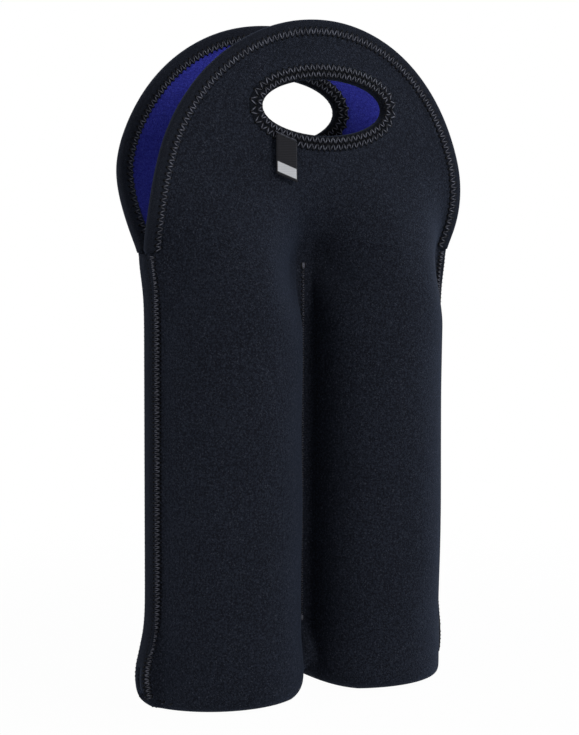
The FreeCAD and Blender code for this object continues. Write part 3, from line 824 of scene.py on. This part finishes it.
# Folded tab: down the front, round the fold and up the back, cut on a slant along the hole
def makeLabel():
    half = labelTab["thickness"] / 2
    loop = [(d, half) for d in np.linspace(0, labelTab["length"] - half, labelTab["down"])]
    loop += [(labelTab["length"] - half + half * math.sin(a), half * math.cos(a))
             for a in np.linspace(0, math.pi, 7)[1:-1]]
    loop += [(d, -half) for d, _ in reversed(loop[:labelTab["down"]])]
    sections = []
    for i in range(labelTab["across"] + 1):
        across = labelTab["width"] * (i / labelTab["across"] - 0.5)
        fromEdge = labelTab["width"] / 2 - abs(across)
        edge = 1 - labelTab["edgeThinning"] * ease(1 - fromEdge / labelTab["edgeWidth"])
        section = []
        for drop, lift in loop:
            curl = labelTab["curl"] * (drop / labelTab["length"]) ** 2 * (1 + across / labelTab["width"])
            section.append((labelTab["x"] + across, -(labelBack + half + lift * edge + curl),
                            labelTop + labelSlope * across - drop))
        sections.append(section)
    piece = makePiece("labelTab", *loftSections(sections, False), labelWeave)
    uv = piece.data.uv_layers.new(name="labelUV")
    for corner in piece.data.loops:
        place = piece.data.vertices[corner.vertex_index].co / toMetres
        across = place.x - labelTab["x"]
        drop = labelTop + labelSlope * across - place.z
        uv.data[corner.index].uv = (across / labelTab["width"] + 0.5, drop / labelTab["length"])


makeLabel()
print("label made")

# Stitching, laid on the cloth where a line along Y meets it
seamStitch = {"halfWidth": 1.2, "pitch": 2.6, "bottom": 42.0, "top": 240.0, "radius": 0.3, "lift": 0.1,
              "arch": 0.4, "sink": 0.25, "overrun": 0.15}
tackStitch = {"halfWidth": 1.6, "height": 2.5, "gap": 0.2, "rows": 10, "radius": 0.2, "lift": 0.08,
              "arch": 0.45, "sink": 0.1, "overrun": 0.2}
labelStitch = {"rows": 26, "margin": 0.3, "bite": 0.5, "tilt": 0.3, "radius": 0.2, "lift": 0.06, "arch": 0.35,
               "sink": 0.15, "overrun": 0.2}
seamGroups, tackGroups, sideGroups = [], [], {"left": [], "right": []}
for side in facing:
    face = facing[side]
    bothFaces = ((face * farAway, -face), (0.0, face))      # seen from outside, and from the middle
    cloth = ClothTouch([made[side + kind] for kind in ("Sheet", "Lining", "RimBinding", "HoleBinding")])
    rim = rimLine(rimStitch["lineSteps"], rimTape["lift"])
    rows = zigzag(rim, leftOf(rim, False), rimStitch["near"], rimStitch["far"], rimStitch["pitch"], False)
    groups = [cloth.strokes(*rows, *way) for way in bothFaces]
    sewnPiece(f"{side}RimStitches", *joinStrokes(*groups), rimStitch)
    hole = holeLine(holeStitch["lineSteps"], side)
    groups = []
    for near, far in holeStitch["rows"]:
        rows = zigzag(hole, -leftOf(hole, True), near, far, holeStitch["pitch"], True)
        groups += [cloth.strokes(*rows, *way) for way in bothFaces]
    sewnPiece(f"{side}HoleStitches", *joinStrokes(*groups), holeStitch)
    line = evenly([[0.0, seamStitch["bottom"]], [0.0, seamStitch["top"]]], 100)
    sideways = np.tile([1.0, 0.0], (len(line), 1))
    half = seamStitch["halfWidth"]
    rows = zigzag(line, sideways, -half, half, seamStitch["pitch"], False)
    seamGroups.append(cloth.strokes(*rows, *bothFaces[0]))
    for low in (seamStitch["bottom"] - tackStitch["gap"] - tackStitch["height"],
                seamStitch["top"] + tackStitch["gap"]):
        z = low + tackStitch["height"] * np.linspace(0, 1, tackStitch["rows"])
        rows = [np.stack([np.full_like(z, x), z], axis=1)
                for x in (-tackStitch["halfWidth"], tackStitch["halfWidth"])]
        tackGroups.append(cloth.strokes(*rows, *bothFaces[0]))
    seams = ClothTouch([made[name] for name in (f"{side}Sheet", "leftSideBinding", "rightSideBinding")])
    for name, turn in sideTurns:
        edge = seamLine(turn)
        rows = zigzag(edge, -turn * leftOf(edge, False), sideStitch["near"], sideStitch["far"],
                      sideStitch["pitch"], False)
        sideGroups[name].append(seams.strokes(*rows, *bothFaces[0]))
sewnPiece("centreSeamStitches", *joinStrokes(*seamGroups), seamStitch)
sewnPiece("centreSeamBartacks", *joinStrokes(*tackGroups), tackStitch)
for name, groups in sideGroups.items():
    sewnPiece(f"{name}SideStitches", *joinStrokes(*groups), sideStitch)
touch = ClothTouch([made["frontHoleBinding"], made["frontSheet"]])
across = np.linspace(-0.5, 0.5, labelStitch["rows"]) * (labelTab["width"] - 2 * labelStitch["margin"])
labelX = labelTab["x"] + across
seamZ = seatHeight(labelTab["x"]) + labelSlope * across
top = np.array([touch.at(x, z, -farAway, 1.0)[0] for x, z in zip(labelX, seamZ)])
low = np.stack([labelX, np.full_like(across, -(labelBack + labelTab["thickness"])),
                labelTop + labelSlope * across - labelStitch["bite"]], axis=1)
sewnPiece("labelStitches", top, low, np.tile([0.0, -1.0, labelStitch["tilt"]], (len(top), 1)), labelStitch)
print("stitching laid:", sum(len(made[n].data.polygons) for n in made if "Stitches" in n), "faces")

# What each piece stands for, and how it moves
for side in facing:
    for piece, nodes, finish in (
            (f"{side}Sheet", ("panel", "neck", "handle"), "outer_foam"),
            (f"{side}Lining", ("lining", "neck_lining", "handle_lining"), "lining"),
            (f"{side}RimBinding", ("rim_binding", "rim_binding_ends"), "binding"),
            (f"{side}RimStitches", ("rim_stitching", "rim_stitching_ends"), "thread")):
        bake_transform(made[piece])
        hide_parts(*[f"{side}_{node}" for node in nodes])
    for piece, node, finish in ((f"{side}HoleBinding", "hole_binding", "binding"),
                                (f"{side}HoleStitches", "hole_stitching", "thread")):
        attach(made[piece], f"{side}_lobe")
        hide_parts(f"{side}_{node}")
for piece, node, body, finish in (
        ("leftSideBinding", "left_side_binding", "bag", "binding"),
        ("rightSideBinding", "right_side_binding", "bag", "binding"),
        ("leftSideStitches", "left_side_stitching", "bag", "thread"),
        ("rightSideStitches", "right_side_stitching", "bag", "thread"),
        ("centreSeamStitches", "centre_seam_stitching", "bag", "thread"),
        ("centreSeamBartacks", "centre_seam_bartacks", "bag", "thread"),
        ("labelStitches", "label_stitching", "front_lobe", "thread"),
        ("labelTab", "label", "label_tab", "label")):
    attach(made[piece], body)
    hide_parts(node)
print("pieces tied to the bodies")

studio = {"floorSize": 8.0, "floorTone": 0.9, "floorShare": 0.02, "shadowStart": 0.2, "shadowReach": 0.6,
          "ambient": 0.06, "lampAim": (0, 0, 0.2),      # in metres, as the lamps' places
          "lamps": (("keyLamp", (0.5, -0.95, 1.0), 0.8, 8.5, (1.0, 1.0, 1.0)),
                    ("fillLamp", (-1.8, -0.45, 0.6), 1.2, 10.0, (0.95, 0.97, 1.0)),
                    ("edgeLamp", (1.7, -0.1, 1.0), 1.1, 16.0, (0.75, 0.85, 1.0)))}


# 1 where the camera, a reflection or a view through something looks at the surface, 0 where light falls on it
def lookedAt(flow):
    camera, glossy, through = (flow.add("ShaderNodeLightPath", output=f"Is {kind} Ray")
                               for kind in ("Camera", "Glossy", "Transmission"))
    return flow.maths("MAXIMUM", camera, flow.maths("MAXIMUM", glossy, through))


# White paper that shows almost no shadow to the camera
def makeFloor():
    half = studio["floorSize"] / 2
    corners = [(-half, -half, 0), (half, -half, 0), (half, half, 0), (-half, half, 0)]
    mesh = bpy.data.meshes.new("floor")
    mesh.from_pydata(corners, [], [(0, 1, 2, 3)])
    material, flow = newMaterial("floorPaper")
    seen = lookedAt(flow)
    paper = flow.add("ShaderNodeBsdfDiffuse", {}, {"Color": (*[studio["floorTone"]] * 3, 1)})
    glow = flow.add("ShaderNodeEmission", {}, {"Color": (1, 1, 1, 1), "Strength": 1.0})
    place = flow.add("ShaderNodeTexCoord", output="Object")
    far = flow.add("ShaderNodeVectorMath", {"operation": "LENGTH"}, {0: place}, "Value")
    share = (1 - far.band(studio["shadowStart"], studio["shadowReach"])) * studio["floorShare"]
    shown = flow.add("ShaderNodeMixShader", {}, {0: share, 1: glow, 2: paper})
    mixed = flow.add("ShaderNodeMixShader", {}, {0: seen, 1: paper, 2: shown})
    mesh.materials.append(finishMaterial(material, flow, mixed))
    floor = bpy.data.objects.new("floor", mesh)
    bpy.context.scene.collection.objects.link(floor)


def makeWorld():
    world = bpy.data.worlds.new("studio")
    world.use_nodes = True
    tree = world.node_tree
    tree.nodes.clear()
    flow = Flow(tree)
    seen = lookedAt(flow)
    soft = flow.add("ShaderNodeBackground", {}, {"Color": (1, 1, 1, 1), "Strength": studio["ambient"]})
    white = flow.add("ShaderNodeBackground", {}, {"Color": (1, 1, 1, 1), "Strength": 1.0})
    mixed = flow.add("ShaderNodeMixShader", {}, {0: seen, 1: soft, 2: white})
    flow.add("ShaderNodeOutputWorld", {}, {"Surface": mixed})
    bpy.context.scene.world = world


def makeLamps():
    for name, place, size, power, colour in studio["lamps"]:
        lamp = bpy.data.lights.new(name, "AREA")
        lamp.shape = "DISK"
        lamp.size = size
        lamp.energy = power
        lamp.color = colour
        holder = bpy.data.objects.new(name, lamp)
        holder.location = place
        heading = Vector(studio["lampAim"]) - Vector(place)
        holder.rotation_euler = heading.to_track_quat("-Z", "Y").to_euler()
        bpy.context.scene.collection.objects.link(holder)


# The photo's camera: degrees, millimetres, and focal length, middle and image size in pixels
view = {"azimuth": -32.3, "distance": 1074.4, "height": 282.5, "aim": 183.4, "focal": 1908.4, "roll": 0.25,
        "imageWidth": 579, "imageHeight": 735, "middleX": 298.6, "sensor": 36.0}


def makeCamera():
    turn = math.radians(view["azimuth"])
    out = view["distance"]
    eye = Vector((out * math.sin(turn), -out * math.cos(turn), view["height"])) * toMetres
    ahead = (Vector((0, 0, view["aim"] * toMetres)) - eye).normalized()
    right = ahead.cross(Vector((0, 0, 1))).normalized()
    up = right.cross(ahead)
    roll = math.radians(view["roll"])
    right, up = right * math.cos(roll) + up * math.sin(roll), up * math.cos(roll) - right * math.sin(roll)
    camera = bpy.data.objects.new("camera", bpy.data.cameras.new("camera"))
    camera.matrix_world = Matrix((right, up, -ahead)).transposed().to_4x4()
    camera.location = eye
    camera.data.sensor_width = view["sensor"]
    camera.data.lens = view["focal"] * view["sensor"] / view["imageHeight"]
    camera.data.shift_x = (view["imageWidth"] / 2 - view["middleX"]) / view["imageHeight"]
    bpy.context.scene.collection.objects.link(camera)
    bpy.context.scene.camera = camera


makeFloor()
makeWorld()
makeLamps()
makeCamera()
bpy.context.scene.view_settings.view_transform = "Standard"
print("studio ready")
